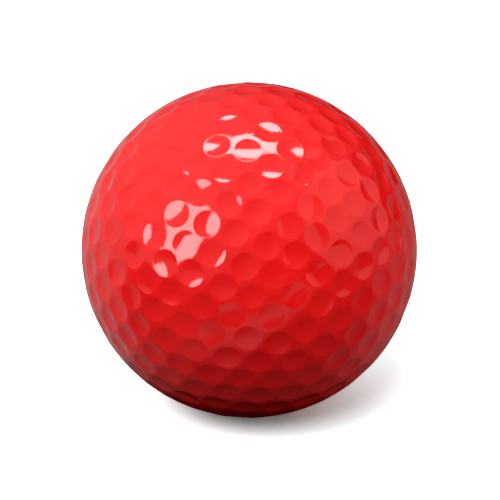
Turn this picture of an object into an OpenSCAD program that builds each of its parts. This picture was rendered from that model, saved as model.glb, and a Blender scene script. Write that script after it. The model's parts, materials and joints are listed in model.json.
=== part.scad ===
// Mini golf ball: a solid rubber core inside a dimpled cover made of two half shells.
// The origin is the centre of the ball, +Z is up, and the ball lies as it rests on a floor.

/* [Ball] */
// Diameter over the lands between the dimples
ball_d = 42.7; // [42:0.1:44]
// Thickness of the cover, from the core to the lands
cover_t = 1.9; // [1.4:0.1:2.6]

/* [Dimples] */
// Diameter of a dimple's rim
dimple_d = 3.5; // [3:0.05:3.55]
// Depth of a dimple below the ball's round surface
dimple_depth = 0.25; // [0.18:0.01:0.32]
// Sectors round each pole, each bounded by two spokes of dimples
sectors = 5; // [5:1:5]
// Dimples per sector in each of the two rows next to the parting line
seam_row_count = 7; // [5:1:7]
// Dimples per sector in the third row
third_row_count = 6; // [5:1:6]
// Rows in the triangular patch that fills a sector, and dimples in its longest row
patch_rows = 5; // [3:1:5]

/* [Rows of dimples, in degrees of latitude above the parting line] */
// Row next to the parting line
first_row_lat = 5.3; // [5:0.1:5.4]
// Second row
second_row_lat = 14.1; // [13.9:0.1:14.3]
// Third row
third_row_lat = 24.1; // [23.9:0.1:24.2]
// Longest row of a patch
patch_lat = 33.4; // [33.3:0.1:33.6]
// Step from one row of a patch to the next
patch_pitch = 10.1; // [10:0.05:10.1]
// Lowest dimple of a spoke
spoke_lat = 37; // [36.8:0.1:37.2]
// Step from one dimple of a spoke to the next
spoke_pitch = 10.5; // [10.4:0.05:10.5]

/* [Lie of the ball, in degrees] */
// Lean of the pole axis from upright
pole_lean = 48.8; // [0:0.1:90]
// Direction of the lean, round +Z from +X
pole_azimuth = 153.6; // [0:0.1:360]
// Turn of the ball about its own pole axis
pole_spin = 12.2; // [0:0.1:72]

/* [Hidden] */
$fn = 96;

ball_r = ball_d / 2;
core_r = ball_r - cover_t;
sector_angle = 360 / sectors;

// The rim circle of a dimple sinks this far below the round surface
rim_sink = ball_r - sqrt(pow(ball_r, 2) - pow(dimple_d / 2, 2));
// Rise of the dish above its lowest point, up to the rim, and the dish's own radius
dish_rise = dimple_depth - rim_sink;
dish_r = (pow(dimple_d / 2, 2) + pow(dish_rise, 2)) / (2 * dish_rise);
// A cutter is trimmed just outside the rim, so that neighbouring cutters stay apart
cutter_r = dimple_d / 2 + 0.01;
cutter_h = 2 * dimple_depth;

// An even row right round the ball: its latitude, its number per sector and its first place in steps
function even_row(lat, count, start) =
    [for (i = [0 : sectors * count - 1]) [lat, (i + start) * sector_angle / count]];

// Row of a sector's patch with count dimples, the longest row lowest
function patch_row(count, sector) =
    [for (i = [1 : count])
        [patch_lat + (patch_rows - count) * patch_pitch, (sector + i / (count + 1)) * sector_angle]];

function patch(sector) =
    [for (count = [1 : patch_rows]) each patch_row(count, sector)];

// Dimples along the meridian between two patches
function spoke(sector) =
    [for (i = [0 : patch_rows - 1]) [spoke_lat + i * spoke_pitch, sector * sector_angle]];

// Latitude and longitude of every dimple of one half
DIMPLES = [
    each even_row(first_row_lat, seam_row_count, 0),
    each even_row(second_row_lat, seam_row_count, 0.5),
    each even_row(third_row_lat, third_row_count, 0.5),
    each [for (sector = [0 : sectors - 1]) each patch(sector)],
    each [for (sector = [0 : sectors - 1]) each spoke(sector)],
    [90, 0]
];

// Lens that cuts one dimple into the top of the ball
module dimple_cutter() {
    intersection() {
        translate([0, 0, ball_r - dimple_depth + dish_r])
            sphere(r = dish_r);
        translate([0, 0, ball_r - dimple_depth - cutter_h / 4])
            cylinder(r = cutter_r, h = cutter_h);
    }
}

// Half of the cover with its pole up and its parting face in the XY plane
module cover_half() {
    difference() {
        sphere(r = ball_r);
        translate([0, 0, -ball_d])
            cylinder(d = 2 * ball_d, h = ball_d);
        sphere(r = core_r);
        for (place = DIMPLES)
            rotate([0, 90 - place[0], place[1]])
                dimple_cutter();
    }
}

// Turns what is built pole up to the way the ball lies
module as_it_lies() {
    rotate([0, pole_lean, pole_azimuth])
        rotate([0, 0, pole_spin])
            children();
}

// Solid rubber core
module core() {
    color("dimgray")
        sphere(r = core_r);
}

// Half of the cover whose pole leans upward
module upper_cover_half() {
    color("crimson")
        as_it_lies()
            cover_half();
}

// The other half, turned by half a sector so that its rows interlock with the first
module lower_cover_half() {
    color("crimson")
        as_it_lies()
            rotate([180, 0, sector_angle / 2])
                cover_half();
}

core();
upper_cover_half();
lower_cover_half();
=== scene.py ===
"""Mini golf ball: two dimpled cover halves over the rubber core, lying on a plain pale floor."""
import json
import math

import bpy
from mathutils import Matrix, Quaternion, Vector


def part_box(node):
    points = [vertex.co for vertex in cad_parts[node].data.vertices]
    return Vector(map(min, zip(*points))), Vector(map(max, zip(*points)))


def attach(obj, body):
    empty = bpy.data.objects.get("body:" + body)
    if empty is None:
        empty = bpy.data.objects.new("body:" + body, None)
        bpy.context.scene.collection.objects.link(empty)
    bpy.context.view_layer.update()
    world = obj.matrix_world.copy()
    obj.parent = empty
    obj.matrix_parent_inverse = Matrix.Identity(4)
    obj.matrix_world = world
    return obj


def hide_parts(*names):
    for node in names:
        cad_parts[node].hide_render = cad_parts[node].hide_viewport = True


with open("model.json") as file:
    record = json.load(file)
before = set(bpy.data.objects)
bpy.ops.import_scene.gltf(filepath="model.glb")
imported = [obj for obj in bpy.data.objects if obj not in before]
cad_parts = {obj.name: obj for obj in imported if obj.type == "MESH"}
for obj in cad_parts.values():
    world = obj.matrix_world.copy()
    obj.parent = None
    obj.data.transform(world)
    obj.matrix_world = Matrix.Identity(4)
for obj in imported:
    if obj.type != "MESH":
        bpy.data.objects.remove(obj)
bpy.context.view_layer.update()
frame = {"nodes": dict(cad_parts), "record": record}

MM = 0.001

# The ball, from the frame
REST_POINT = Vector(frame["record"]["mounts"][0]["pos_m"])
BALL_R = -REST_POINT.z
CORE_R = (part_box("core")[1].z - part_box("core")[0].z) / 2
# The hollow clears the core by a hair, so that the two curved faces don't cut into each other
HOLLOW_CLEARANCE = 0.02 * MM
HOLLOW_R = CORE_R + HOLLOW_CLEARANCE

# Dimples, as the part's source has them
DIMPLE_R = 1.75 * MM
DIMPLE_DEPTH = 0.25 * MM
SECTORS = 5
SEAM_ROW_COUNT = 7
THIRD_ROW_COUNT = 6
PATCH_ROWS = 5
FIRST_ROW_LAT = 5.3
SECOND_ROW_LAT = 14.1
THIRD_ROW_LAT = 24.1
PATCH_LAT = 33.4
PATCH_PITCH = 10.1
SPOKE_LAT = 37.0
SPOKE_PITCH = 10.5
SECTOR_ANGLE = 360 / SECTORS

# Lie of the ball, in degrees
POLE_LEAN = 48.8
POLE_AZIMUTH = 153.6
POLE_SPIN = 12.2
POLE_AXIS = Vector((math.sin(math.radians(POLE_LEAN)) * math.cos(math.radians(POLE_AZIMUTH)),
                    math.sin(math.radians(POLE_LEAN)) * math.sin(math.radians(POLE_AZIMUTH)),
                    math.cos(math.radians(POLE_LEAN))))

# Fineness of the mesh: points round a dimple's rim, round the parting line, and rings in the hollow
RIM_POINTS = 20
SEAM_POINTS = 220
HOLLOW_RINGS = 20

# Rounding of a dimple's rim, and the rings of its dish, as radii
RIM_R = 1.8 * MM
RIM_CREST_R = 1.74 * MM
DISH_RINGS = [1.65 * MM, 1.15 * MM]
# Edges that turn by more than this, in degrees, stay sharp
SHARP_ANGLE = 40

# The photograph: image size, the ball's middle and radius there in pixels, and the camera's place
IMAGE_PX = 500
BALL_MIDDLE_PX = (249.2, 249.9)
BALL_RADIUS_PX = 168
CAMERA_ELEVATION = 24
CAMERA_DISTANCE = 50 * BALL_R
SENSOR_WIDTH = 36

# The floor's size, and its brightness to the camera against plain white
FLOOR_SIZE = 3.0
CARD_EXPOSURE = 2.15

# The painted pale strip of light on the floor that the ball mirrors: the way across it, and its distance
# from the ball
PAINTED_LIGHT_STRIP_ACROSS = (0.64, 0.77, 0)
PAINTED_LIGHT_STRIP_DISTANCE = 44 * MM

# Brightness of the studio's ceiling and left wall
CEILING_LEVEL = 0.65
WALL_LEVEL = 0.5


def linear(hex_colour):
    """An sRGB hex colour as linear red, green, blue and alpha."""
    channels = [int(hex_colour[i:i + 2], 16) / 255 for i in (1, 3, 5)]
    curved = [c / 12.92 if c <= 0.04045 else ((c + 0.055) / 1.055) ** 2.4 for c in channels]
    return (*curved, 1.0)


def add_node(material, kind, inputs=None, **settings):
    """Adds a node, sets its properties, and gives each named input a value or another node's output."""
    tree = material.node_tree
    node = tree.nodes.new(kind)
    for name, value in settings.items():
        setattr(node, name, value)
    for name, value in (inputs or {}).items():
        if isinstance(value, bpy.types.NodeSocket):
            tree.links.new(value, node.inputs[name])
        else:
            node.inputs[name].default_value = value
    return node


def new_material(name):
    """An empty node material and its output node."""
    material = bpy.data.materials.new(name)
    material.use_nodes = True
    material.node_tree.nodes.clear()
    return material, add_node(material, "ShaderNodeOutputMaterial")


def per_metre(size):
    """Noise scale that gives features of about this size."""
    return 1 / size


# Materials

def clear_coated_ionomer():
    """Red ionomer, moulded with its dimples and sprayed with clear urethane.

    The coat gives sharp bright reflections, with the faint orange peel of a sprayed film and fine scuffs
    from play. The pigment under it is an even deep red, a little cloudy where the melt flowed.
    """
    material, output = new_material("clear_coated_red_ionomer")
    place = add_node(material, "ShaderNodeTexCoord").outputs["Object"]

    melt_flow = add_node(material, "ShaderNodeTexNoise",
                         {"Vector": place, "Scale": per_metre(7 * MM), "Detail": 3.0, "Roughness": 0.55})
    pigment = add_node(material, "ShaderNodeValToRGB", {"Fac": melt_flow.outputs["Fac"]})
    pigment.color_ramp.elements[0].position = 0.3
    pigment.color_ramp.elements[0].color = linear("#DF1517")
    pigment.color_ramp.elements[1].position = 0.7
    pigment.color_ramp.elements[1].color = linear("#EC1B1D")

    peel = add_node(material, "ShaderNodeTexNoise",
                    {"Vector": place, "Scale": per_metre(1.2 * MM), "Detail": 3.0, "Roughness": 0.55})
    peel_bump = add_node(material, "ShaderNodeBump",
                         {"Height": peel.outputs["Fac"], "Strength": 0.35, "Distance": 0.07 * MM})

    scuffs = add_node(material, "ShaderNodeTexNoise",
                      {"Vector": place, "Scale": per_metre(2.2 * MM), "Detail": 6.0, "Roughness": 0.7})
    gloss = add_node(material, "ShaderNodeMapRange",
                     {"Value": scuffs.outputs["Fac"], "From Min": 0.45, "From Max": 0.75,
                      "To Min": 0.05, "To Max": 0.11})

    # The plastic glows a little, but not at the parting line, where light would be lost between the halves
    height = add_node(material, "ShaderNodeVectorMath", {0: place, 1: POLE_AXIS}, operation="DOT_PRODUCT")
    from_seam = add_node(material, "ShaderNodeMath", {0: height.outputs["Value"]}, operation="ABSOLUTE")
    glow = add_node(material, "ShaderNodeMapRange",
                    {"Value": from_seam.outputs["Value"], "From Min": 0.5 * MM, "From Max": 3 * MM,
                     "To Min": 0.0, "To Max": 1.0})

    shader = add_node(material, "ShaderNodeBsdfPrincipled",
                      {"Base Color": pigment.outputs["Color"], "Roughness": gloss.outputs["Result"],
                       "IOR": 1.5, "Normal": peel_bump.outputs["Normal"],
                       "Subsurface Weight": glow.outputs["Result"], "Subsurface Scale": 1.8 * MM,
                       "Subsurface Radius": (1.0, 0.12, 0.08)})
    material.node_tree.links.new(shader.outputs["BSDF"], output.inputs["Surface"])
    return material


def moulded_core_rubber():
    """Filled polybutadiene rubber from a hot press: dark grey, matt, with pale filler grains."""
    material, output = new_material("press_moulded_core_rubber")
    place = add_node(material, "ShaderNodeTexCoord").outputs["Object"]
    filler = add_node(material, "ShaderNodeTexNoise",
                      {"Vector": place, "Scale": per_metre(0.6 * MM), "Detail": 4.0, "Roughness": 0.65})
    colour = add_node(material, "ShaderNodeValToRGB", {"Fac": filler.outputs["Fac"]})
    colour.color_ramp.elements[0].position = 0.4
    colour.color_ramp.elements[0].color = linear("#4A4C50")
    colour.color_ramp.elements[1].position = 0.72
    colour.color_ramp.elements[1].color = linear("#85888C")
    grain = add_node(material, "ShaderNodeBump",
                     {"Height": filler.outputs["Fac"], "Strength": 0.3, "Distance": 0.02 * MM})
    shader = add_node(material, "ShaderNodeBsdfPrincipled",
                      {"Base Color": colour.outputs["Color"], "Roughness": 0.75, "IOR": 1.52,
                       "Normal": grain.outputs["Normal"]})
    material.node_tree.links.new(shader.outputs["BSDF"], output.inputs["Surface"])
    return material


def painted_shade_to_ball(material, place):
    """Shade of the floor card as the photographed ball mirrors it, and as it lights the ball.

    It is painted light and shade: brighter to the left, with painted shade in front of the ball, a painted
    shadow under it, and a painted pale strip of light in front.
    """
    across = add_node(material, "ShaderNodeSeparateXYZ", {"Vector": place})
    # Painted light: the card is brighter to the left
    painted_light_to_left = add_node(material, "ShaderNodeMapRange",
                    {"Value": across.outputs["X"], "From Min": 60 * MM, "From Max": -120 * MM,
                     "To Min": 0.13, "To Max": 0.38})
    # Painted shadow under the ball, and painted shade in front of it
    from_ball = add_node(material, "ShaderNodeVectorMath", {0: place}, operation="LENGTH")
    painted_shadow_under_ball = add_node(material, "ShaderNodeMapRange",
                      {"Value": from_ball.outputs["Value"], "From Min": 12 * MM, "From Max": 24 * MM})
    painted_shade_in_front = add_node(material, "ShaderNodeMapRange",
                      {"Value": across.outputs["Y"], "From Min": -22 * MM, "From Max": -2 * MM,
                       "To Min": 0.1})
    painted_shadow_mask = add_node(material, "ShaderNodeMath",
                   {0: painted_shadow_under_ball.outputs["Result"], 1: painted_shade_in_front.outputs["Result"]}, operation="MULTIPLY")
    painted_ground_light_and_shade = add_node(material, "ShaderNodeMath",
                      {0: painted_light_to_left.outputs["Result"], 1: painted_shadow_mask.outputs["Value"]}, operation="MULTIPLY")

    # A painted pale strip of light in front of the ball, to its right
    measured = add_node(material, "ShaderNodeVectorMath", {0: place, 1: PAINTED_LIGHT_STRIP_ACROSS},
                        operation="DOT_PRODUCT")
    offset = add_node(material, "ShaderNodeMath", {0: measured.outputs["Value"], 1: PAINTED_LIGHT_STRIP_DISTANCE},
                      operation="ADD")
    from_strip = add_node(material, "ShaderNodeMath", {0: offset.outputs["Value"]}, operation="ABSOLUTE")
    painted_light_strip = add_node(material, "ShaderNodeMapRange",
                     {"Value": from_strip.outputs["Value"], "From Min": 18 * MM, "From Max": 8 * MM,
                      "To Max": 0.26})
    painted_light_strip_end = add_node(material, "ShaderNodeMapRange",
                         {"Value": across.outputs["X"], "From Min": -28 * MM, "From Max": -6 * MM})
    painted_light_and_shade = add_node(material, "ShaderNodeMath",
                     {0: painted_light_strip.outputs["Result"], 1: painted_light_strip_end.outputs["Result"],
                      2: painted_ground_light_and_shade.outputs["Value"]}, operation="MULTIPLY_ADD")
    return painted_light_and_shade.outputs["Value"]


def white_to_camera(material, place):
    """White of the floor card as the camera sees it.

    It is painted cooler just to the right of the ball, against the red light that the ball throws there, so
    that the shadow is grey.
    """
    across = add_node(material, "ShaderNodeSeparateXYZ", {"Vector": place})
    right = add_node(material, "ShaderNodeMapRange",
                     {"Value": across.outputs["X"], "From Min": 0.0, "From Max": 32 * MM})
    # Painted cool tint against the ball's red light on the card
    painted_cool_tint = add_node(material, "ShaderNodeValToRGB", {"Fac": right.outputs["Result"]})
    painted_cool_tint.color_ramp.elements.new(0.4)
    for stop, colour in zip(painted_cool_tint.color_ramp.elements, ("#FFFFFF", "#E6FFFF", "#FFFFFF")):
        stop.color = [CARD_EXPOSURE * channel for channel in linear(colour)]
    return painted_cool_tint.outputs["Color"]


def floor_card():
    """Matt white studio card, which shows painted light and shade to all rays but the camera's. It is
    exposed so that only the heart of the shadow shows.
    """
    material, output = new_material("matt_white_card")
    place = add_node(material, "ShaderNodeTexCoord").outputs["Object"]
    seen = add_node(material, "ShaderNodeLightPath").outputs["Is Camera Ray"]
    # The painted light and shade, for all rays but the camera's
    painted_shade_bsdf = add_node(material, "ShaderNodeBsdfDiffuse", {"Color": painted_shade_to_ball(material, place)})
    white = add_node(material, "ShaderNodeBsdfDiffuse", {"Color": white_to_camera(material, place)})
    card = add_node(material, "ShaderNodeMixShader", {"Fac": seen})
    material.node_tree.links.new(painted_shade_bsdf.outputs["BSDF"], card.inputs[1])
    material.node_tree.links.new(white.outputs["BSDF"], card.inputs[2])
    material.node_tree.links.new(card.outputs["Shader"], output.inputs["Surface"])
    return material


# Layout of the dimples

def even_row(lat, count, start):
    """An even row right round the ball, as latitudes and longitudes in degrees."""
    return [(lat, (i + start) * SECTOR_ANGLE / count) for i in range(SECTORS * count)]


def patch(sector):
    """The triangular patch of dimples that fills a sector, its longest row lowest."""
    return [(PATCH_LAT + (PATCH_ROWS - count) * PATCH_PITCH, (sector + i / (count + 1)) * SECTOR_ANGLE)
            for count in range(1, PATCH_ROWS + 1)
            for i in range(1, count + 1)]


def spoke(sector):
    """Dimples along the meridian between two patches."""
    return [(SPOKE_LAT + i * SPOKE_PITCH, sector * SECTOR_ANGLE) for i in range(PATCH_ROWS)]


def half_dimples():
    """Latitude and longitude of every dimple of one half."""
    places = even_row(FIRST_ROW_LAT, SEAM_ROW_COUNT, 0)
    places += even_row(SECOND_ROW_LAT, SEAM_ROW_COUNT, 0.5)
    places += even_row(THIRD_ROW_LAT, THIRD_ROW_COUNT, 0.5)
    for sector in range(SECTORS):
        places += patch(sector) + spoke(sector)
    places.append((90, 0))
    return places


def dish_height(radius):
    """Height of a dimple's dish at this radius, from the plane of its rim circle."""
    rim_sink = BALL_R - math.sqrt(BALL_R ** 2 - DIMPLE_R ** 2)
    rise = DIMPLE_DEPTH - rim_sink
    dish_r = (DIMPLE_R ** 2 + rise ** 2) / (2 * rise)
    lowest = BALL_R - DIMPLE_DEPTH - math.sqrt(BALL_R ** 2 - RIM_R ** 2)
    return lowest + dish_r - math.sqrt(dish_r ** 2 - radius ** 2)


# Modelling of the cover

def flatten(mesh):
    """Spreads the half ball's points on the plane of the parting line, which keeps circles circles."""
    for vertex in mesh.vertices:
        x, y, z = vertex.co
        shrink = BALL_R / (BALL_R + z)
        vertex.co = (x * shrink, y * shrink, 0)


def round_up(mesh):
    """Puts the flattened points back on the ball."""
    for vertex in mesh.vertices:
        x, y, z = vertex.co
        spread = (x * x + y * y) / BALL_R ** 2
        grow = 2 / (1 + spread)
        vertex.co = (x * grow, y * grow, BALL_R * (1 - spread) / (1 + spread))


def sink_faces(steps, points, individual):
    """Insets the selected faces ring by ring. A step is the ring's radius and its height."""
    across_flats = math.cos(math.pi / points)
    for (outer_r, outer_z), (inner_r, inner_z) in zip(steps, steps[1:]):
        bpy.ops.mesh.inset(use_individual=individual, use_even_offset=True,
                           thickness=(outer_r - inner_r) * across_flats, depth=inner_z - outer_z)


def select_faces(mesh, corners):
    """Selects only the faces with this many corners. Called in object mode."""
    for vertex in mesh.vertices:
        vertex.select = False
    for edge in mesh.edges:
        edge.select = False
    for face in mesh.polygons:
        face.select = len(face.vertices) == corners


def draw_rims():
    """Draws the parting line and a disc for each dimple on the ball, in one mesh."""
    bpy.ops.object.select_all(action="DESELECT")
    bpy.ops.mesh.primitive_circle_add(vertices=SEAM_POINTS, radius=BALL_R)
    half = bpy.context.object
    rim_distance = math.sqrt(BALL_R ** 2 - RIM_R ** 2)
    bpy.ops.object.mode_set(mode="EDIT")
    for lat, lon in half_dimples():
        lean, turn = math.radians(90 - lat), math.radians(lon)
        outward = Vector((math.sin(lean) * math.cos(turn), math.sin(lean) * math.sin(turn), math.cos(lean)))
        bpy.ops.mesh.primitive_circle_add(vertices=RIM_POINTS, radius=RIM_R, fill_type="NGON",
                                          location=outward * rim_distance, rotation=(0, lean, turn))
    bpy.ops.object.mode_set(mode="OBJECT")
    return half


def fill_lands(half):
    """Fills the land between the discs, spread flat, and puts it back on the ball as a closed solid."""
    flatten(half.data)
    bpy.ops.object.mode_set(mode="EDIT")
    bpy.ops.mesh.select_mode(type="EDGE")
    bpy.ops.mesh.select_all(action="SELECT")
    bpy.ops.mesh.fill(use_beauty=True)
    bpy.ops.object.mode_set(mode="OBJECT")
    round_up(half.data)
    bpy.ops.object.mode_set(mode="EDIT")
    bpy.ops.mesh.select_all(action="DESELECT")
    bpy.ops.mesh.select_non_manifold()
    bpy.ops.mesh.edge_face_add()
    bpy.ops.mesh.select_all(action="SELECT")
    bpy.ops.mesh.normals_make_consistent(inside=False)
    bpy.ops.object.mode_set(mode="OBJECT")


def press_dimples(half):
    """Sinks every disc into a dish with a rounded rim."""
    select_faces(half.data, RIM_POINTS)
    steps = [(RIM_R, 0), (RIM_CREST_R, 0)] + [(radius, dish_height(radius)) for radius in DISH_RINGS]
    bpy.ops.object.mode_set(mode="EDIT")
    bpy.ops.mesh.select_mode(type="FACE")
    sink_faces(steps, RIM_POINTS, individual=True)
    bpy.ops.mesh.poke(offset=dish_height(0) - dish_height(DISH_RINGS[-1]))
    bpy.ops.object.mode_set(mode="OBJECT")


def hollow_out(half):
    """Sinks the parting face to the round hollow that holds the core."""
    select_faces(half.data, SEAM_POINTS)
    angles = [math.pi / 2 * i / HOLLOW_RINGS for i in range(HOLLOW_RINGS)]
    steps = [(BALL_R, 0)] + [(HOLLOW_R * math.cos(a), -HOLLOW_R * math.sin(a)) for a in angles]
    bpy.ops.object.mode_set(mode="EDIT")
    bpy.ops.mesh.select_mode(type="FACE")
    sink_faces(steps, SEAM_POINTS, individual=False)
    bpy.ops.mesh.poke(offset=HOLLOW_R * (math.sin(angles[-1]) - 1))
    bpy.ops.object.mode_set(mode="OBJECT")


def turn_and_apply(piece, x, y, z):
    """Turns a piece about the ball's centre, in degrees, and puts the turn into its mesh."""
    bpy.ops.object.select_all(action="DESELECT")
    piece.select_set(True)
    bpy.context.view_layer.objects.active = piece
    piece.rotation_euler = [math.radians(angle) for angle in (x, y, z)]
    bpy.ops.object.transform_apply(location=False, rotation=True, scale=False)


def lay_down(piece):
    """Leans a piece that was built pole up to the way the ball lies."""
    turn_and_apply(piece, 0, 0, POLE_SPIN)
    turn_and_apply(piece, 0, POLE_LEAN, POLE_AZIMUTH)


def cover_halves():
    """The upper half of the cover, and a copy turned over and by half a sector for the lower one."""
    upper = draw_rims()
    upper.name = "upper_cover"
    fill_lands(upper)
    press_dimples(upper)
    hollow_out(upper)
    bpy.ops.object.shade_smooth_by_angle(angle=math.radians(SHARP_ANGLE))
    bpy.ops.object.duplicate(linked=False)
    lower = bpy.context.object
    lower.name = "lower_cover"
    turn_and_apply(lower, 180, 0, SECTOR_ANGLE / 2)
    lay_down(upper)
    lay_down(lower)
    return upper, lower


# The ball

red_ionomer = clear_coated_ionomer()
for piece, node in zip(cover_halves(), ("upper_cover_half", "lower_cover_half")):
    piece.data.materials.append(red_ionomer)
    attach(piece, "root")
    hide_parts(node)

core = frame["nodes"]["core"]
core.data.materials.clear()
core.data.materials.append(moulded_core_rubber())

# Floor

bpy.ops.object.select_all(action="DESELECT")
bpy.ops.mesh.primitive_plane_add(size=FLOOR_SIZE, location=REST_POINT)
floor = bpy.context.object
floor.name = "floor"
floor.data.materials.append(floor_card())

# Light and camera


def round_the_ball(azimuth, elevation, distance):
    """A point at this distance from the ball's centre. Azimuth 0 is in front, 90 to the right."""
    a, e = math.radians(azimuth), math.radians(elevation)
    return Vector((math.sin(a) * math.cos(e), -math.cos(a) * math.cos(e), math.sin(e))) * distance


def softbox(name, azimuth, elevation, distance, width, height, white_level, tip=0):
    """An oval lamp that faces the ball, with its top tipped to the ball's right by an angle.

    Angles are in degrees and lengths in metres. White level is its brightness against a white card.
    """
    data = bpy.data.lights.new(name, "AREA")
    data.shape = "ELLIPSE"
    data.size = width
    data.size_y = height
    # An area lamp's radiance is its power over its area and pi, so this many watts give the white level
    area = math.pi / 4 * width * height
    data.energy = white_level * math.pi * area
    lamp = bpy.data.objects.new(name, data)
    bpy.context.collection.objects.link(lamp)
    lamp.location = round_the_ball(azimuth, elevation, distance)
    facing = lamp.location.to_track_quat("Z", "Y")
    lamp.rotation_euler = (facing @ Quaternion((0, 0, -1), math.radians(tip))).to_euler()
    return lamp


# Two lamps that only show in the gloss
overhead = softbox("overhead_softbox", 177, 79.5, 0.7, 0.52, 0.2, 12.5, tip=2)
overhead.visible_diffuse = False
front_left = softbox("front_left_softbox", -52, 27, 0.8, 0.38, 0.63, 7.8, tip=14)
front_left.visible_diffuse = False
# A pale card on the right, for the haze there
softbox("right_reflector", 84, 22, 0.8, 1.1, 1.0, 0.52)
# Four fills that aren't mirrored: a main one, one at each side and one behind the ball
fills = [softbox("main_fill", -30, 50, 1.2, 1.2, 1.2, 4.65),
         softbox("right_fill", 88, 5, 1.2, 1.2, 0.2, 9),
         softbox("left_fill", -105, 28, 1.2, 1.0, 0.6, 0.9),
         softbox("back_fill", 180, 30, 1.2, 1.2, 1.2, 0.5)]
for fill in fills:
    fill.visible_glossy = False

# The studio has a pale ceiling and left wall, and darkens towards the floor and to the right
world = bpy.data.worlds.new("studio")
world.use_nodes = True
towards = add_node(world, "ShaderNodeTexCoord").outputs["Generated"]
direction = add_node(world, "ShaderNodeSeparateXYZ", {"Vector": towards})
wall = add_node(world, "ShaderNodeMapRange",
                {"Value": direction.outputs["X"], "From Min": 0.2, "From Max": -0.9, "To Max": WALL_LEVEL})
above = add_node(world, "ShaderNodeMath", {0: direction.outputs["Z"], 1: 0.0}, operation="MAXIMUM")
ceiling = add_node(world, "ShaderNodeMath", {0: above.outputs["Value"], 1: 2.0}, operation="POWER")
pale = add_node(world, "ShaderNodeMath",
                {0: ceiling.outputs["Value"], 1: CEILING_LEVEL, 2: wall.outputs["Result"]},
                operation="MULTIPLY_ADD")
world.node_tree.links.new(pale.outputs["Value"], world.node_tree.nodes["Background"].inputs["Strength"])
world.node_tree.nodes["Background"].inputs["Color"].default_value = linear("#FFFFFF")
bpy.context.scene.world = world

camera_data = bpy.data.cameras.new("camera")
camera_data.sensor_width = SENSOR_WIDTH
# The ball's outline is a circle of the photograph's radius at this focal length
outline_slope = BALL_R / math.sqrt(CAMERA_DISTANCE ** 2 - BALL_R ** 2)
camera_data.lens = SENSOR_WIDTH * BALL_RADIUS_PX / IMAGE_PX / outline_slope
camera_data.shift_x = 0.5 - BALL_MIDDLE_PX[0] / IMAGE_PX
camera_data.shift_y = BALL_MIDDLE_PX[1] / IMAGE_PX - 0.5
camera = bpy.data.objects.new("camera", camera_data)
bpy.context.collection.objects.link(camera)
camera.location = round_the_ball(0, CAMERA_ELEVATION, CAMERA_DISTANCE)
camera.rotation_euler = camera.location.to_track_quat("Z", "Y").to_euler()
bpy.context.scene.camera = camera

bpy.context.scene.view_settings.view_transform = "Standard"
